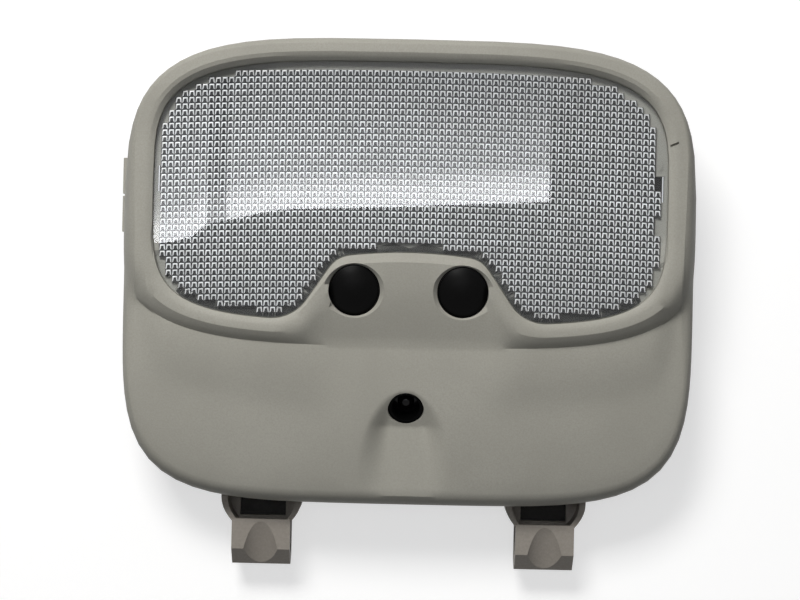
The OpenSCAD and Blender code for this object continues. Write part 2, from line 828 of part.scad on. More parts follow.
module switch_body(side) {
    color(dark_grey)
    at_button(side)
        difference() {
            translate([-switch_w / 2, -switch_w / 2, switch_z])
                cube([switch_w, switch_w, switch_h]);
            translate([0, 0, switch_z + switch_h - button_travel - 1])
                cylinder(d = plunger_d + 0.6, h = switch_h);
        }
}

module switch_plunger(side) {
    color(lamp_white)
    at_button(side)
        translate([0, 0, switch_z + switch_h - plunger_in])
            cylinder(d = plunger_d, h = plunger_h + plunger_in);
}

// Each bulb lies along Y in a holder on the tray's floor, over the prong of its feed strip
bulb_z = tray_floor + 7;
bulb_neck = 4;
bulb_len = 15;
base_w = 8.4;
base_t = 2.4;
holder_y0 = window_y + 18.5;
holder_len = 10;
holder_w = 13;
holder_h = 12;
prong_y = holder_y0 + 5;
prong_w = 2.6;
prong_slot = 6;

// A wedge base bulb lying along Y: glass envelope and flat base as one sealed solid
module bulb(side) {
    r = bulb_d / 2;
    color(clear_lens, 0.5)
    translate([side * bulb_x, holder_y0 - 2 * seat_gap, bulb_z])
        rotate([90, 0, 0]) {
            rotate_extrude()
                polygon(concat(
                    [[0, 0], [0.68 * r, 0], [r, bulb_neck], [r, bulb_len]],
                    [for (i = [1:8])
                        let(t = 90 * i / 8)
                        [r * cos(t), bulb_len + r * sin(t)]]));
            translate([-base_w / 2, -base_t / 2, -6])
                cube([base_w, base_t, 7]);
        }
}

module bulb_holder(side) {
    color(near_black)
    translate([side * bulb_x, holder_y0, tray_floor])
        difference() {
            translate([-holder_w / 2, 0, 0])
                cube([holder_w, holder_len, holder_h]);
            translate([-base_w / 2 - 0.2, -1, bulb_z - tray_floor - base_t / 2 - 0.2])
                cube([base_w + 0.4, holder_len - 2, base_t + 0.4]);
        }
}

// A stamped strip from the switch's upper side out to the bulb holder's prong
module feed_strip(side) {
    far_x = bulb_x + strip_w / 2 + 1;
    near_x = button_x + 2.2;
    start_y = button_y + switch_w / 2 + seat_gap;
    bend_y = start_y + 21;
    color(brass_tone)
    mirror([side > 0 ? 0 : 1, 0, 0])
        translate([0, 0, switch_z]) {
            translate([near_x, start_y, 0])
                cube([strip_w, bend_y - start_y + strip_w, strip_t]);
            translate([near_x, bend_y, 0])
                cube([far_x - near_x, strip_w, strip_t]);
            translate([far_x - strip_w, bend_y, 0])
                cube([strip_w, prong_y + prong_w - bend_y, strip_t]);
            translate([far_x - strip_w, prong_y, 0])
                cube([1, prong_w, tray_floor - switch_z]);
        }
}

module ground_strip() {
    bar_y = housing_top - 7;
    color(brass_tone)
    translate([0, 0, switch_z]) {
        translate([1 - bulb_x, bar_y, 0])
            cube([2 * bulb_x - 2, strip_w - 1, strip_t]);
        translate([-strip_w / 2, board_top - strip_w, 0])
            cube([strip_w, bar_y + 1 - board_top + strip_w, strip_t]);
    }
}

module connector_shell() {
    color(near_black)
    difference() {
        translate([-connector_w / 2, connector_y - connector_h / 2, 2 * seat_gap])
            cube([connector_w, connector_h, board_z - 2 * seat_gap]);
        translate([connector_wall - connector_w / 2, connector_y + connector_wall - connector_h / 2, -1])
            cube([connector_w - 2 * connector_wall, connector_h - 2 * connector_wall, board_z - 1]);
        for (i = [-2:2])
            translate([i * pin_pitch - pin_w / 2 - 0.05, connector_y - pin_w / 2 - 0.05, 0])
                cube([pin_w + 0.1, pin_w + 0.1, through]);
    }
}

module connector_pins() {
    color(brass_tone)
    for (i = [-2:2])
        translate([i * pin_pitch - pin_w / 2, connector_y - pin_w / 2, pin_foot])
            cube([pin_w, pin_w, board_z - pin_foot]);
}

module receiver_tube() {
    color(near_black)
    at_eye()
        translate([0, 0, -sleeve_len - sleeve_sink])
            difference() {
                cylinder(d = eye_bore - 2 * seat_gap, h = sleeve_len);
                translate([0, 0, -1])
                    cylinder(d = eye_bore - 2 * (seat_gap + sleeve_wall), h = sleeve_len + 2);
            }
}

module receiver_eye() {
    r = eye_bore / 2 - seat_gap - sleeve_wall - seat_gap / 2;
    base_h = 6.4;
    bead_r = 2.8;
    color(dark_wine)
    at_eye()
        translate([0, 0, -sleeve_len - sleeve_sink])
            rotate_extrude()
                polygon(concat(
                    [[0, 0], [r, 0], [r, base_h]],
                    [for (i = [0:8])
                        let(t = 90 * i / 8)
                        [bead_r * cos(t), base_h + bead_r * sin(t)]]));
}

// A J-shaped clip: rear leg on the housing's tongue, hooked front tab, and side wings
module clip(side) {
    z0 = tongue_t;
    z1 = clip_front_z;
    root_half = clip_root_w / 2;
    tab_half = clip_w / 2;
    wing_y = -bezel_h / 2 + 0.6;
    wing_t = 2.1;
    wing_steps = 5;
    break_y = clip_end + 6;
    heel_z = z1 - 4.3;
    taper = 1.8;
    slot_w = clip_w - 2 * wing_t;
    groove_fall = 19;
    wing_curve = [for (i = [0:wing_steps])
        let(t = i / wing_steps)
        [root_half + (tab_half - root_half) * t * t, wing_y + (clip_lip - 1 - wing_y) * t]];
    color(grey_beige)
    translate([side * clip_x, 0, 0])
        difference() {
            union() {
                translate([-tab_half, 0, 0])
                    rotate([90, 0, 90])
                        linear_extrude(clip_w)
                            polygon([[clip_start, z0], [clip_end + 3, z0], [clip_end, z0 + 4],
                                [clip_end + 0.4, z0 + 7], [break_y, z1], [clip_lip, z1],
                                [clip_lip, z1 - clip_t], [break_y + 1, heel_z], [break_y - 2, heel_z - 1.6],
                                [break_y - 1, z0 + clip_t], [clip_start, z0 + clip_t]]);
                translate([0, 0, z0])
                    linear_extrude(clip_t)
                        polygon([[-root_half, clip_start], [-root_half, wing_y], [-tab_half, clip_lip],
                            [tab_half, clip_lip], [root_half, wing_y], [root_half, clip_start]]);
                mirrored()
                    translate([0, 0, z0])
                        linear_extrude(z1 - z0 - 1)
                            polygon(concat(
                                [[root_half - wing_t, wing_y + 1.5], [root_half, wing_y + 1.5]],
                                wing_curve,
                                [for (i = [wing_steps:-1:0]) wing_curve[i] - [wing_t, 0]]));
            }
            translate([0, clip_lip - 0.8, z1])
                rotate([90 + groove_fall, 0, 0])
                    translate([0, clip_groove_r, 0])
                        cylinder(r = clip_groove_r, h = clip_reach);
            translate([side * tab_half, break_y, 0])
                rotate([0, 0, side * atan(taper / (break_y - clip_end))])
                    translate([side > 0 ? 0 : -4, -clip_reach, 0])
                        cube([4, clip_reach, z1 + 1]);
            translate([-slot_w / 2, clip_lip + 0.3, z0 - 1])
                cube([slot_w, wing_y - clip_lip, clip_t + 2]);
            translate([0, peg_y, 0])
                cylinder(d = peg_d + 2 * seat_gap, h = z1);
        }
}

module left_button() { button(-1); }
module right_button() { button(1); }
module left_button_spring() { button_spring(-1); }
module right_button_spring() { button_spring(1); }
module left_switch() { switch_body(-1); }
module right_switch() { switch_body(1); }
module left_switch_plunger() { switch_plunger(-1); }
module right_switch_plunger() { switch_plunger(1); }
module left_bulb() { bulb(-1); }
module right_bulb() { bulb(1); }
module left_bulb_holder() { bulb_holder(-1); }
module right_bulb_holder() { bulb_holder(1); }
module left_feed_strip() { feed_strip(-1); }
module right_feed_strip() { feed_strip(1); }
module left_clip() { clip(-1); }
module right_clip() { clip(1); }

bezel();
lens();
reflector();
rear_housing();
circuit_board();
left_button();
right_button();
left_button_spring();
right_button_spring();
left_switch();
right_switch();
left_switch_plunger();
right_switch_plunger();
left_bulb();
right_bulb();
left_bulb_holder();
right_bulb_holder();
left_feed_strip();
right_feed_strip();
ground_strip();
connector_shell();
connector_pins();
receiver_tube();
receiver_eye();
left_clip();
right_clip();
housing_screws();
board_screws();
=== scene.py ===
import json
import math

import bmesh
import bpy
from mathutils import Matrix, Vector

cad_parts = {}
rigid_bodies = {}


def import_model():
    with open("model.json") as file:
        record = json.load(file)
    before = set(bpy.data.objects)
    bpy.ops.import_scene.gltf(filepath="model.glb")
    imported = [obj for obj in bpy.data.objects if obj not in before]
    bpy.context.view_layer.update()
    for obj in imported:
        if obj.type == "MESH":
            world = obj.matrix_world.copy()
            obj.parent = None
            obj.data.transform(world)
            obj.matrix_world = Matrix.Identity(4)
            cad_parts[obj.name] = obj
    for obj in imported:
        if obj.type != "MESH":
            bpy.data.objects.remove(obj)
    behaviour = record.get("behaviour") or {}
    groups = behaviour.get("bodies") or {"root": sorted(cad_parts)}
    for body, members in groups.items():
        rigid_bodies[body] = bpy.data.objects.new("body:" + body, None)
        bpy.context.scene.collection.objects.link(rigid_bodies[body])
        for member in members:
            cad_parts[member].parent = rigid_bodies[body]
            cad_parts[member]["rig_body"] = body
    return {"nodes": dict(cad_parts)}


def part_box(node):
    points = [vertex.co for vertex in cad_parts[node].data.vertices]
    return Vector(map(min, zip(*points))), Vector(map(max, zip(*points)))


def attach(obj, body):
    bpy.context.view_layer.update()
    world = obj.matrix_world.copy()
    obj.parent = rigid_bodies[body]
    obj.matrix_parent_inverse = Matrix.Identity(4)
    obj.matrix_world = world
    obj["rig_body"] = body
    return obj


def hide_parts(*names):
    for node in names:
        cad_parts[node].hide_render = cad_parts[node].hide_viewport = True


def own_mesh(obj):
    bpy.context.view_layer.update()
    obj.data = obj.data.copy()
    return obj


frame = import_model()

cad = frame["nodes"]
bpy.context.view_layer.update()

# Camera: it looks straight down on the lamp's face, as the lamp lies on its back.
# 650 mm above the clips' plane, the frame takes in 267 mm of the table.
camera_data = bpy.data.cameras.new("camera")
camera_data.lens = 87.75
camera_data.sensor_width = 36
camera = bpy.data.objects.new("camera", camera_data)
camera.location = (-0.00274, -0.00839, 0.678)
camera.rotation_euler = (0, 0, math.radians(1.3))
bpy.context.scene.collection.objects.link(camera)
bpy.context.scene.camera = camera

# Table and room: a plain white sweep under the lamp, and a dim even room around it.
# Both show white to the eye, to glass and to gloss, and give little light of their own.
bpy.context.scene.view_settings.view_transform = "Standard"


def linear(colour):
    """A hex colour, as written in sRGB, as the linear red, green, blue and alpha that a node takes."""
    parts = [int(colour[i:i + 2], 16) / 255 for i in (1, 3, 5)]
    return [c / 12.92 if c <= 0.04045 else ((c + 0.055) / 1.055) ** 2.4 for c in parts] + [1]


def add(tree, kind, inputs=None, **settings):
    """Adds a shader node with its settings, and sets or links its inputs."""
    node = tree.nodes.new("ShaderNode" + kind)
    for name, value in settings.items():
        setattr(node, name, value)
    for name, value in (inputs or {}).items():
        if isinstance(value, bpy.types.NodeSocket):
            tree.links.new(value, node.inputs[name])
        else:
            node.inputs[name].default_value = value
    return node


def blank(name):
    """An empty material and its node tree."""
    material = bpy.data.materials.new(name)
    material.use_nodes = True
    material.node_tree.nodes.clear()
    return material, material.node_tree


world = bpy.data.worlds.new("room")
world.use_nodes = True
bpy.context.scene.world = world
room = world.node_tree
room.nodes.clear()
path = add(room, "LightPath")
glossy = add(room, "Math", {
    0: path.outputs["Is Camera Ray"], 1: path.outputs["Is Glossy Ray"]}, operation="MAXIMUM")
seen = add(room, "Math", {
    0: glossy.outputs[0], 1: path.outputs["Is Transmission Ray"]}, operation="MAXIMUM")
dim = add(room, "Background", {"Color": linear("#f4f6fa"), "Strength": 0.14})
white = add(room, "Background", {"Color": linear("#ffffff"), "Strength": 1})
both = add(room, "MixShader", {0: seen.outputs[0], 1: dim.outputs[0], 2: white.outputs[0]})
add(room, "OutputWorld", {"Surface": both.outputs[0]})

table_half = 3
table_gap = 0.0003
table_mesh = bmesh.new()
bmesh.ops.create_grid(table_mesh, x_segments=1, y_segments=1, size=table_half)
bmesh.ops.translate(table_mesh, verts=table_mesh.verts, vec=(0, 0, -table_gap))
table_data = bpy.data.meshes.new("table")
table_mesh.to_mesh(table_data)
table_mesh.free()
table = bpy.data.objects.new("table", table_data)
bpy.context.scene.collection.objects.link(table)
# Matt white laminate: it shows white with a soft shadow, and throws only a little light back up.
laminate, tree = blank("white_laminate")
path = add(tree, "LightPath")
eye = add(tree, "Math", {
    0: path.outputs["Is Camera Ray"], 1: path.outputs["Is Glossy Ray"]}, operation="MAXIMUM")
shade = add(tree, "BsdfDiffuse", {"Color": linear("#6e6e6e")})
lit = add(tree, "BsdfDiffuse", {"Color": linear("#bcbcbc")})
lift = add(tree, "Emission", {"Color": linear("#ffffff"), "Strength": 0.62})
bright = add(tree, "AddShader", {0: lit.outputs[0], 1: lift.outputs[0]})
both = add(tree, "MixShader", {0: eye.outputs[0], 1: shade.outputs[0], 2: bright.outputs[0]})
add(tree, "OutputMaterial", {"Surface": both.outputs[0]})
table_data.materials.append(laminate)

# Lights: a broad soft box beyond the lamp's top edge, and a long window high above the lens.
# The window is what the clear lens mirrors: a bright band with a sharp, bent lower edge and one bar.
key_data = bpy.data.lights.new("soft_box", "AREA")
key_data.shape = "RECTANGLE"
key_data.size = 0.5
key_data.size_y = 0.35
key_data.energy = 13.4
key_data.color = (1, 0.99, 0.97)
key = bpy.data.objects.new("soft_box", key_data)
key.location = (-0.3, 0.76, 0.93)
key.rotation_euler = (Vector((0, 0, 0.03)) - key.location).to_track_quat("-Z", "Y").to_euler()
bpy.context.scene.collection.objects.link(key)

bar_left = -0.319
bar_right = -0.286
sill = [(-0.414, -0.016), (-0.396, -0.012), (-0.344, 0.003), (bar_left, 0.022), (bar_right, 0.03),
        (-0.259, 0.035), (-0.218, 0.045), (-0.176, 0.049), (-0.098, 0.052), (-0.014, 0.055),
        (0.067, 0.06), (0.148, 0.065), (0.222, 0.069)]
head_y = 0.29
window_z = 1.0
panes = bmesh.new()
low = [panes.verts.new((x, y, window_z)) for x, y in sill]
for a, b in zip(low, low[1:]):
    panes.edges.new((a, b))
height = panes.verts.layers.float.new("height")
raised = bmesh.ops.extrude_edge_only(panes, edges=panes.edges[:])["geom"]
for v in raised:
    if isinstance(v, bmesh.types.BMVert):
        v[height] = head_y - v.co.y
        v.co.y = head_y
for f in panes.faces:
    f.material_index = 1 if bar_left < f.calc_center_median().x < bar_right else 0
    if f.normal.z > 0:
        f.normal_flip()
panes_data = bpy.data.meshes.new("window_light")
panes.to_mesh(panes_data)
panes.free()
window_light = bpy.data.objects.new("window_light", panes_data)
bpy.context.scene.collection.objects.link(window_light)
# Daylight through a pane, brightest just over the sill, and the same through the dimmer glazing bar.
# The panes give little light of their own, and show brighter where the lens mirrors them.
pane_light = 5
pane_mirrored = 13
for name, share in (("daylight", 1), ("glazing_bar", 0.4)):
    daylight, tree = blank(name)
    rise = add(tree, "Attribute", attribute_name="height")
    level = add(tree, "ValToRGB", {"Fac": rise.outputs["Fac"]})
    level.color_ramp.elements.remove(level.color_ramp.elements[1])
    steps = [(0, 1), (0.025, 0.9), (0.045, 0.6), (0.06, 0.34),
             (0.1, 0.24), (0.15, 0.14), (0.2, 0.09), (0.235, 0.03)]
    for place, value in steps:
        stop = level.color_ramp.elements[0] if place == 0 else level.color_ramp.elements.new(place)
        stop.color = (value, value, value, 1)
    path = add(tree, "LightPath")
    mirrored = add(tree, "MapRange", {
        0: path.outputs["Is Glossy Ray"], 1: 0, 2: 1, 3: pane_light * share, 4: pane_mirrored * share})
    strength = add(tree, "Math", {0: level.outputs["Color"], 1: mirrored.outputs[0]}, operation="MULTIPLY")
    glow = add(tree, "Emission", {"Color": linear("#fbfcff"), "Strength": strength.outputs[0]})
    add(tree, "OutputMaterial", {"Surface": glow.outputs[0]})
    panes_data.materials.append(daylight)

# Rear housing: the dark box behind the bezel, injection moulded in glass-filled polypropylene.
# Its floor lies against the roof frame, and its two tongues carry the clips.
mm = 0.001
weld = 0.002 * mm
sliver = 0.001 * mm


def fair_copy(node, name, sharp, edge):
    """A merged, smooth copy of a CAD node, with edges over sharp degrees kept and rounded by edge mm."""
    mesh = bmesh.new()
    mesh.from_mesh(cad[node].data)
    bmesh.ops.remove_doubles(mesh, verts=mesh.verts, dist=weld)
    bmesh.ops.dissolve_degenerate(mesh, edges=mesh.edges, dist=sliver)
    for f in mesh.faces:
        f.smooth = True
    for e in mesh.edges:
        e.smooth = e.is_manifold and e.calc_face_angle(0) < math.radians(sharp)
    data = bpy.data.meshes.new(name)
    mesh.to_mesh(data)
    mesh.free()
    piece = bpy.data.objects.new(name, data)
    bpy.context.scene.collection.objects.link(piece)
    if edge:
        round_off = piece.modifiers.new("edges", "BEVEL")
        round_off.width = edge * mm
        round_off.segments = 2
        round_off.limit_method = "ANGLE"
        round_off.angle_limit = math.radians(sharp)
        round_off.harden_normals = True
    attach(piece, cad[node]["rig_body"])
    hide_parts(node)
    return piece


def moulded(name, colour, shade, roughness, grain, relief, sheen=0.5):
    """Moulded plastic: colour drifts to shade, and spark-eroded grain of a size and depth in mm."""
    flow = 35 * mm
    material, tree = blank(name)
    place = add(tree, "TexCoord").outputs["Object"]
    drift = add(tree, "TexNoise", {"Vector": place, "Scale": 1 / flow, "Detail": 3, "Roughness": 0.5})
    speck = add(tree, "TexNoise", {"Vector": place, "Scale": 1 / (grain * mm), "Detail": 2, "Roughness": 0.6})
    blend = add(tree, "Math", {0: drift.outputs["Fac"], 1: speck.outputs["Fac"]}, operation="MULTIPLY")
    share = add(tree, "MapRange", {0: blend.outputs[0], 1: 0.12, 2: 0.42, 3: 0, 4: 1})
    paint = add(tree, "Mix", {0: share.outputs[0], 6: linear(shade), 7: linear(colour)}, data_type="RGBA")
    gloss = add(tree, "MapRange", {
        0: speck.outputs["Fac"], 1: 0.3, 2: 0.7, 3: roughness + 0.06, 4: roughness - 0.06})
    bump = add(tree, "Bump", {"Height": speck.outputs["Fac"], "Distance": relief * mm, "Strength": 1})
    plastic = add(tree, "BsdfPrincipled", {
        "Base Color": paint.outputs[2], "Roughness": gloss.outputs[0], "IOR": 1.5,
        "Specular IOR Level": sheen, "Normal": bump.outputs[0]})
    add(tree, "OutputMaterial", {"Surface": plastic.outputs[0]})
    return material


# Glass-filled polypropylene, moulded: near black, dull, with the faint mottle of its fibres.
filled_polypropylene = moulded("glass_filled_polypropylene", "#232220", "#191817", 0.55, 0.9, 0.03, 0.15)
housing = fair_copy("rear_housing", "housing_shell", 35, 0.3)
# The tongues are drawn a little longer, so that no light shows between them and the clips' lips.
tongue_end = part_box("rear_housing")[0][1]
tongue_more = 0.55 * mm
for v in housing.data.vertices:
    if v.co.y < tongue_end + 0.01 * mm:
        v.co.y -= tongue_more
housing.data.materials.append(filled_polypropylene)

# Bezel: the visible moulding that closes the housing and frames the lens.
# It is ABS, moulded in the trim's light grey beige, with a fine spark-eroded grain.
grained_abs = moulded("grained_abs", "#a8a69d", "#9d9b92", 0.5, 0.55, 0.012, 0.15)
bezel_crease = 24
bezel = fair_copy("bezel", "bezel_skin", bezel_crease, 0)
foot_y = -23.8 * mm
foot_z = 35.55 * mm
panel_bow = 1700 * mm
panel_fall = 400 * mm
hood_y = -38.5 * mm
scoop_end = -72.1 * mm
scoop_half = 16.5 * mm
scoop_power = 2.35
scoop_tilt = math.radians(25)
scoop_run = 12 * mm
pad_high = 5.8 * mm
pad_middle = 26.7 * mm
pad_half = 97 * mm
swell_high = 2.4 * mm
swell_reach = 38 * mm


def ease(t):
    """A smooth step from 0 to 1."""
    t = max(0, min(1, t))
    return t * t * (3 - 2 * t)


def panel(x, y):
    """Height of the plain panel below the pad."""
    return foot_z - x * x / panel_bow - max(0, foot_y - y) ** 2 / panel_fall


def scooped(x, y):
    """Height of the panel with the scoop that runs down from the receiver's hole."""
    plain = panel(x, y)
    if y > hood_y:
        return plain
    floor = panel(0, hood_y) - min(hood_y - y, scoop_run) * math.tan(scoop_tilt)
    along = max(0, min(1, (y - scoop_end) / (hood_y - scoop_end)))
    half = max(0.01 * mm, scoop_half * math.sqrt(1 - along ** scoop_power))
    return plain - (1 - ease((abs(x) / half - 0.4) / 0.6)) * max(0, plain - floor)


def swell(x, y, z):
    """How far the panel rises under the pad's lobes, where the real step is lower than the solid's."""
    if y > pad_middle or z < panel(x, y) - 3 * mm:
        return 0
    ring = (x / pad_half) ** 4 + ((y - pad_middle) / (pad_middle - foot_y)) ** 4
    beyond = (ring ** 0.25 - 1) * math.hypot(x, y - pad_middle)
    down = max(0, min(1, (panel(x, y) + pad_high - z) / pad_high))
    lobe = ease((abs(x) - 18 * mm) / (22 * mm)) * (1 - ease((abs(x) - 80 * mm) / (11 * mm)))
    return swell_high * lobe * down * ease((ring - 0.66) / 0.1) * (1 - ease(beyond / swell_reach))


# The scoop's hood is drawn finer than the solid's grid, so that it reads as one smooth surface.
hood_half = 20 * mm
hood_top = hood_y + 3 * mm
hood_near = 1.1 * mm
skin = bmesh.new()
skin.from_mesh(bezel.data)
hooded = set()
for f in skin.faces:
    spot = f.calc_center_median()
    if f.normal.z > 0.3 and abs(spot.x) < hood_half and scoop_end < spot.y < hood_top:
        hooded.add(f)
hood_edges = [e for e in skin.edges if any(f in hooded for f in e.link_faces)]
bmesh.ops.subdivide_edges(skin, edges=hood_edges, cuts=3, use_grid_fill=True)
bmesh.ops.triangulate(skin, faces=[f for f in skin.faces if len(f.verts) > 4])
for v in skin.verts:
    x, y, z = v.co
    if abs(x) < hood_half and scoop_end < y < hood_top and abs(z - scooped(x, y)) < hood_near:
        v.co.z = scooped(x, y)
outer = [v for v in skin.verts if any(f.normal.z > 0.2 for f in v.link_faces)]
for v in outer:
    v.co.z += swell(*v.co)
# Where the pad's foot runs out over the bezel's sides, its edge is evened out.
flank = []
for v in skin.verts:
    if abs(v.co.x) > 84 * mm and -32 * mm < v.co.y < 12 * mm and v.co.z > 28 * mm:
        flank.append(v)
for turn in range(3):
    bmesh.ops.smooth_vert(skin, verts=flank, factor=0.5, use_axis_z=True)
for e in skin.edges:
    e.smooth = e.is_manifold and e.calc_face_angle(0) < math.radians(bezel_crease)
skin.to_mesh(bezel.data)
skin.free()
bezel.data.materials.append(grained_abs)

# Lens: a clear cover moulded in acrylic, snapped into the bezel's window from the front.
# It is a plain polished dome outside, with a flange and snap tabs that the eye sees through.
dome_radius = 850 * mm
dome_crown = 41.5 * mm
window_middle = 27.5 * mm
field_depth = 1.25 * mm
flange = 1.3 * mm


def dome(x, y):
    """Height of the lens's outer face over a point of the plan."""
    return dome_crown - (x * x + (y - window_middle) ** 2) / (2 * dome_radius)


lens = fair_copy("lens", "lens_cover", 35, 0)
plate = bmesh.new()
plate.from_mesh(lens.data)
dome_faces = set()
for f in plate.faces:
    if f.normal.z > 0.9 and all(abs(v.co.z - dome(v.co.x, v.co.y)) < 0.03 * mm for v in f.verts):
        dome_faces.add(f)
rim = [e for e in plate.edges if sum(f in dome_faces for f in e.link_faces) == 1]
rim_lines = [(e.verts[0].co.xy, e.verts[1].co.xy) for e in rim]


def inside(p, lines):
    """How far a point lies inside an outline, less than zero outside it."""
    hits = 0
    near = 1.0
    for a, b in lines:
        if (a.y > p.y) != (b.y > p.y) and p.x < a.x + (p.y - a.y) / (b.y - a.y) * (b.x - a.x):
            hits += 1
        along = b - a
        t = max(0, min(1, (p - a).dot(along) / along.length_squared))
        near = min(near, (a + along * t - p).length)
    return near if hits % 2 else -near


for v in plate.verts:
    if v.co.z < dome(v.co.x, v.co.y) - field_depth and inside(v.co.xy, rim_lines) > flange:
        v.co.z = dome(v.co.x, v.co.y) - field_depth
bmesh.ops.dissolve_degenerate(plate, edges=plate.edges, dist=0.01 * mm)
# The flange faces along the window's lower edge take the grey tint: painted shade.
for f in plate.faces:
    middle = f.calc_center_median()
    low = middle.y < 24 * mm and abs(middle.x) < 76 * mm
    painted_shade_flange = low and inside(middle.xy, rim_lines) < 2 * mm
    f.material_index = 1 if painted_shade_flange and f.normal.z < 0.9 else 0
plate.to_mesh(lens.data)
plate.free()

# Clear acrylic, polished: it mirrors about a twentieth of the room and lets the rest through.
# Along the window's lower edge the flange is tinted grey: painted shade, darkening the ledge seen through it.
for name, tint in (("clear_acrylic", "#fbfcfd"), ("acrylic_flange_painted_shade", "#9c9ea0")):
    acrylic, tree = blank(name)
    rim_light = add(tree, "Fresnel", {"IOR": 1.49})
    face = add(tree, "NewGeometry")
    front = add(tree, "Math", {0: 1, 1: face.outputs["Backfacing"]}, operation="SUBTRACT")
    share = add(tree, "Math", {0: rim_light.outputs[0], 1: front.outputs[0]}, operation="MULTIPLY")
    through = add(tree, "BsdfTransparent", {"Color": linear(tint)})
    mirror = add(tree, "BsdfGlossy", {"Color": linear("#ffffff"), "Roughness": 0.02})
    both = add(tree, "MixShader", {0: share.outputs[0], 1: through.outputs[0], 2: mirror.outputs[0]})
    add(tree, "OutputMaterial", {"Surface": both.outputs[0]})
    lens.data.materials.append(acrylic)

# Prism field: rows of small square prisms on the lens's inner face, cut into the mould on a 2.2 mm pitch.
# Three sides of each prism are painted bright and its lower side and grooves painted dark: painted light and
# shade for the lamp's white tray seen through the acrylic, so that each reads as a small bright arch.
column_pitch = 2.17 * mm
row_pitch = 2.1 * mm
columns = 80
rows = 38
bow_radius = 1800 * mm
field_foot = -13 * mm
groove = 0.16 * mm
groove_depth = 0.15 * mm
crown_taper = 0.2 * mm
arch = 0.56 * mm
arch_depth = 0.12 * mm
prism_top = 1.55 * mm
prism_foot = 2.5 * mm


def clear_edge(middle):
    """How far the middle of a prism stays inside the lens's edge: furthest at its right-hand end."""
    if middle.y < 14 * mm:
        return 2 * mm
    if middle.x > 70 * mm:
        return 3 * mm
    return 1.6 * mm if middle.y > 27 * mm else 2.6 * mm


prisms = bmesh.new()
bmesh.ops.create_grid(prisms, x_segments=columns, y_segments=rows, size=0.5)
for v in prisms.verts:
    v.co.x *= columns * column_pitch
    v.co.y = (v.co.y + 0.5) * rows * row_pitch + field_foot - v.co.x ** 2 / (2 * bow_radius)
outside = []
for f in prisms.faces:
    middle = f.calc_center_median()
    if inside(middle.xy, rim_lines) < clear_edge(middle):
        outside.append(f)
bmesh.ops.delete(prisms, geom=outside, context="FACES")
cells = prisms.faces[:]
gap_set = set(bmesh.ops.inset_individual(prisms, faces=cells, thickness=groove, depth=groove_depth)["faces"])
crowns = [f for f in prisms.faces if f not in gap_set]
for f in crowns:
    middle = f.calc_center_median()
    for v in f.verts:
        if v.co.y > middle.y:
            v.co.x += crown_taper if v.co.x < middle.x else -crown_taper
arches = bmesh.ops.inset_individual(prisms, faces=crowns, thickness=arch, depth=arch_depth)["faces"]
arch_set = set(arches)
# Painted light and shade: grooves, prism middles and lower walls take the painted dark facet, and the top, left
# and right walls take the painted bright facet, by the way they face.
for f in prisms.faces:
    f.material_index = 1
for f in crowns:
    middle = f.calc_center_median()
    for e in f.edges:
        for side in e.link_faces:
            if side in arch_set:
                away = side.calc_center_median() - middle
                side.material_index = 1 if away.y < -abs(away.x) else 0
for v in prisms.verts:
    v.co.z += dome(v.co.x, v.co.y) - prism_top
back = bmesh.ops.extrude_face_region(prisms, geom=prisms.faces[:])["geom"]
for v in back:
    if isinstance(v, bmesh.types.BMVert):
        v.co.z = dome(v.co.x, v.co.y) - prism_foot
bmesh.ops.recalc_face_normals(prisms, faces=prisms.faces[:])


def place_key(spot):
    """One number for a spot, to a hundredth of a millimetre, that puts faces and corners in a fixed order."""
    span = 100000
    x, y, z = (round(c / (0.01 * mm)) + span // 2 for c in spot)
    return (z * span + y) * span + x


# The walls come out of the extrusion in no fixed order, so they are sorted, and each run gives the same mesh.
prisms.verts.sort(key=lambda v: place_key(v.co))
prisms.faces.sort(key=lambda f: place_key(f.calc_center_median()))
prisms_data = bpy.data.meshes.new("lens_prisms")
prisms.to_mesh(prisms_data)
prisms.free()
lens_prisms = bpy.data.objects.new("lens_prisms", prisms_data)
bpy.context.scene.collection.objects.link(lens_prisms)

# Acrylic prism, painted light side: facets painted white for the tray's light, with a painted ramp along the
# lens that is brightest across the lamp's middle and darker towards its top and bottom.
painted_light_facet, tree = blank("acrylic_painted_light_facet")
place = add(tree, "TexCoord").outputs["Object"]
cloud = add(tree, "TexNoise", {"Vector": place, "Scale": 1 / (2.6 * mm), "Detail": 1})
share = add(tree, "MapRange", {0: cloud.outputs["Fac"], 1: 0.3, 2: 0.7, 3: 0, 4: 1})
tone = add(tree, "Mix", {0: share.outputs[0], 6: linear("#d8d8d6"), 7: linear("#ffffff")}, data_type="RGBA")
split = add(tree, "SeparateXYZ", {0: place})
# Painted shade ramp along the lens's height: the rows are darker towards the top and the bottom.
along = add(tree, "MapRange", {0: split.outputs["Y"], 1: -0.015, 2: 0.07, 3: 0, 4: 1})
level = add(tree, "ValToRGB", {"Fac": along.outputs[0]})
level.color_ramp.elements.remove(level.color_ramp.elements[1])
for place, value in ((0, 0.75), (0.25, 0.92), (0.45, 1), (0.7, 0.95), (0.85, 0.78), (1, 0.6)):
    stop = level.color_ramp.elements[0] if place == 0 else level.color_ramp.elements.new(place)
    stop.color = (value, value, value, 1)
lit = add(tree, "Mix", {
    0: 1, 6: tone.outputs[2], 7: level.outputs["Color"]}, data_type="RGBA", blend_type="MULTIPLY")
facet = add(tree, "BsdfPrincipled", {"Base Color": lit.outputs[2], "Roughness": 0.3, "IOR": 1.49})
add(tree, "OutputMaterial", {"Surface": facet.outputs[0]})
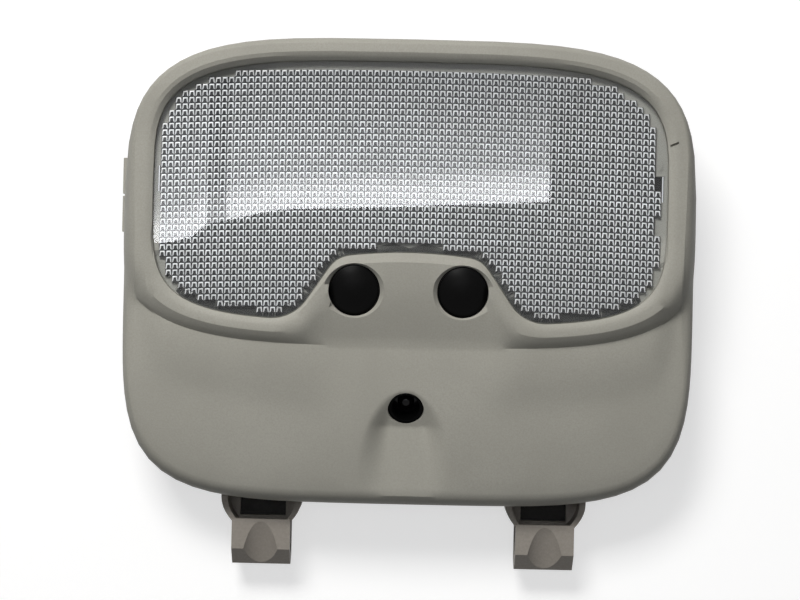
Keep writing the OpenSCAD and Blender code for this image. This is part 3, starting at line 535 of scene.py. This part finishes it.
# Acrylic prism, painted shade side: the facets and grooves are painted near black, a painted shade for the
# lamp's dim depth seen through them.
painted_shade_facet, tree = blank("acrylic_painted_shade_facet")
place = add(tree, "TexCoord").outputs["Object"]
cloud = add(tree, "TexNoise", {"Vector": place, "Scale": 1 / (4 * mm), "Detail": 2})
tone = add(tree, "Mix", {0: cloud.outputs["Fac"], 6: linear("#111112"), 7: linear("#303030")}, data_type="RGBA")
facet = add(tree, "BsdfPrincipled", {
    "Base Color": tone.outputs[2], "Roughness": 0.4, "IOR": 1.49, "Specular IOR Level": 0.2})
add(tree, "OutputMaterial", {"Surface": facet.outputs[0]})
prisms_data.materials.append(painted_light_facet)
prisms_data.materials.append(painted_shade_facet)
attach(lens_prisms, "root")

# Buttons: two push buttons with domed caps, moulded in black ABS and left plain and satin.
# Each runs in a collar under the bezel's pad, on a coil spring over its switch.
satin_black = moulded("satin_black_abs", "#060606", "#040404", 0.4, 0.6, 0.008, 0.05)
for side in ("left", "right"):
    button = fair_copy(side + "_button", side + "_button_cap", 35, 0.5)
    button.data.materials.append(satin_black)

# Receiver: a black sleeve in the tilted hole, with a small dark window at its bottom.
# The sleeve is matt inside, so that only the window gives a faint glint.
matt_black = moulded("matt_black_abs", "#050505", "#030303", 0.6, 0.6, 0.01, 0.03)
sleeve = fair_copy("receiver_tube", "receiver_sleeve", 35, 0.15)
sleeve.data.materials.append(matt_black)

# Clips: two J-shaped retaining clips, moulded in the trim's grey polypropylene and pegged on the tongues.
clip_grey = moulded("grey_polypropylene", "#938d85", "#88827a", 0.5, 0.8, 0.015, 0.3)
for side in ("left", "right"):
    clip = fair_copy(side + "_clip", side + "_retaining_clip", 14, 0)
    clip.data.materials.append(clip_grey)

# Receiver eye: a small window at the bottom of the sleeve, seated on the board.
# It is polished smoked acrylic, and only its crown catches the light.
smoked_acrylic, tree = blank("smoked_acrylic")
place = add(tree, "TexCoord").outputs["Object"]
cloud = add(tree, "TexNoise", {"Vector": place, "Scale": 1 / (3 * mm), "Detail": 1})
tone = add(tree, "Mix", {
    0: cloud.outputs["Fac"], 6: linear("#0c090b"), 7: linear("#161215")}, data_type="RGBA")
glass = add(tree, "BsdfPrincipled", {
    "Base Color": tone.outputs[2], "Roughness": 0.12, "IOR": 1.49, "Specular IOR Level": 0.12})
add(tree, "OutputMaterial", {"Surface": glass.outputs[0]})
eye_window = fair_copy("receiver_eye", "receiver_window", 35, 0.1)
eye_window.data.materials.append(smoked_acrylic)

# Lamp tray: a white box with a divider, that throws the bulbs' light forward.
# It is moulded in opaque polycarbonate, and clips between the housing and the lens.
white_polycarbonate = moulded("white_polycarbonate", "#ecece8", "#e2e2dc", 0.35, 0.9, 0.006)
tray = fair_copy("reflector", "lamp_tray", 30, 0.15)
tray.data.materials.append(white_polycarbonate)

# Bulbs: two wedge base bulbs, blown in clear glass and pushed into their holders.
# The glass mirrors a little and shows the room behind it.
soda_glass, tree = blank("soda_lime_glass")
place = add(tree, "TexCoord").outputs["Object"]
swirl = add(tree, "TexNoise", {"Vector": place, "Scale": 1 / (6 * mm), "Detail": 1})
tint = add(tree, "Mix", {0: swirl.outputs["Fac"], 6: linear("#e9efec"), 7: linear("#f8fbfa")}, data_type="RGBA")
edge_light = add(tree, "Fresnel", {"IOR": 1.52})
through = add(tree, "BsdfTransparent", {"Color": tint.outputs[2]})
mirror = add(tree, "BsdfGlossy", {"Color": linear("#ffffff"), "Roughness": 0.02})
both = add(tree, "MixShader", {0: edge_light.outputs[0], 1: through.outputs[0], 2: mirror.outputs[0]})
add(tree, "OutputMaterial", {"Surface": both.outputs[0]})
# Heat-stable nylon: the creamy, dull white of an unpainted holder.
holder_nylon = moulded("heat_stable_nylon", "#d9d3c4", "#cdc6b5", 0.45, 0.8, 0.01)
for side in ("left", "right"):
    bulb = fair_copy(side + "_bulb", side + "_wedge_bulb", 35, 0.1)
    bulb.data.materials.append(soda_glass)
    holder = fair_copy(side + "_bulb_holder", side + "_wedge_holder", 35, 0.1)
    holder.data.materials.append(holder_nylon)


def metal(name, colour, shade, roughness, streak):
    """Drawn or plated metal: colour and roughness drift in streaks of a width in mm along the strip."""
    material, tree = blank(name)
    place = add(tree, "TexCoord").outputs["Object"]
    turned = add(tree, "Mapping", {"Vector": place, "Scale": (0.2, 1, 1)})
    grain = add(tree, "TexNoise", {"Vector": turned.outputs[0], "Scale": 1 / (streak * mm), "Detail": 3})
    tone = add(tree, "Mix", {0: grain.outputs["Fac"], 6: linear(shade), 7: linear(colour)}, data_type="RGBA")
    dull = add(tree, "MapRange", {
        0: grain.outputs["Fac"], 1: 0.3, 2: 0.7, 3: roughness - 0.06, 4: roughness + 0.06})
    sheet = add(tree, "BsdfPrincipled", {
        "Base Color": tone.outputs[2], "Metallic": 1, "Roughness": dull.outputs[0]})
    add(tree, "OutputMaterial", {"Surface": sheet.outputs[0]})
    return material


def coat(node, material):
    """Gives a CAD node that stays in the scene its finish."""
    cad[node].data.materials.clear()
    cad[node].data.materials.append(material)


# Contact strips: three stamped brass strips that feed the bulbs, pressed into the housing's posts.
# They are bare brass, dulled by handling.
stamped_brass = metal("stamped_brass", "#c9a468", "#a8834a", 0.34, 0.8)
for node in ("left_feed_strip", "right_feed_strip", "ground_strip"):
    coat(node, stamped_brass)

# Circuit board: a woven glass and epoxy board under green resist, on the housing's stand-offs.
# It carries the switches, the eye and the connector's pins.
resist, tree = blank("green_solder_resist")
place = add(tree, "TexCoord").outputs["Object"]
# The glass cloth's threads are drawn several times coarser than the real half millimetre, so that they show.
cloth_scale = 12 * mm
warp = add(tree, "TexWave", {"Vector": place, "Scale": 1 / cloth_scale, "Distortion": 0.3}, bands_direction="X")
weft = add(tree, "TexWave", {"Vector": place, "Scale": 1 / cloth_scale, "Distortion": 0.3}, bands_direction="Y")
cloth = add(tree, "Math", {0: warp.outputs["Fac"], 1: weft.outputs["Fac"]}, operation="MULTIPLY")
tone = add(tree, "Mix", {0: cloth.outputs[0], 6: linear("#17452c"), 7: linear("#1f5937")}, data_type="RGBA")
weave = add(tree, "Bump", {"Height": cloth.outputs[0], "Distance": 0.01 * mm, "Strength": 1})
board = add(tree, "BsdfPrincipled", {
    "Base Color": tone.outputs[2], "Roughness": 0.3, "Normal": weave.outputs[0]})
add(tree, "OutputMaterial", {"Surface": board.outputs[0]})
coat("circuit_board", resist)

# Switches: two push switches in black polyester cases, soldered to the board.
# Their plungers are turned out in white acetal, waxy and a little shiny.
case_polyester = moulded("black_polyester", "#1d1d1e", "#161617", 0.45, 0.7, 0.01)
white_acetal = moulded("white_acetal", "#e4e1d6", "#d9d5c8", 0.3, 1.2, 0.004)
for side in ("left", "right"):
    coat(side + "_switch", case_polyester)
    coat(side + "_switch_plunger", white_acetal)

# Button springs: two coils of steel wire that lift the buttons, seated in the bezel's collars.
drawn_steel = metal("drawn_spring_steel", "#9c9da0", "#7c7d80", 0.32, 0.3)
for side in ("left", "right"):
    low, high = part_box(side + "_button_spring")
    coil = fair_copy(side + "_button_spring", side + "_coil", 60, 0)
    coil.data.materials.append(drawn_steel)
    middle = ((low[0] + high[0]) / 2, (low[1] + high[1]) / 2, low[2])
    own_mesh(coil)

# Connector: a black polyester shroud on the back, with tinned pins that end in the board.
# The lead that plugs in here isn't part of the lamp.
shroud = fair_copy("connector_shell", "connector_shroud", 35, 0.2)
shroud.data.materials.append(case_polyester)
tinned_brass = metal("tinned_brass", "#c4c3bf", "#a3a29e", 0.3, 0.5)
pins = fair_copy("connector_pins", "connector_contacts", 35, 0.06)
pins.data.materials.append(tinned_brass)

# Screws: pan head self-tapping screws, two through the housing and four through the board.
# They are zinc-plated steel, a soft grey with a slight mottle.
zinc_plate = metal("zinc_plated_steel", "#b4b5b6", "#8f9092", 0.38, 0.7)
for node in ("housing_screws", "board_screws"):
    screws = fair_copy(node, node.replace("_screws", "_tapping_screws"), 30, 0.08)
    screws.data.materials.append(zinc_plate)
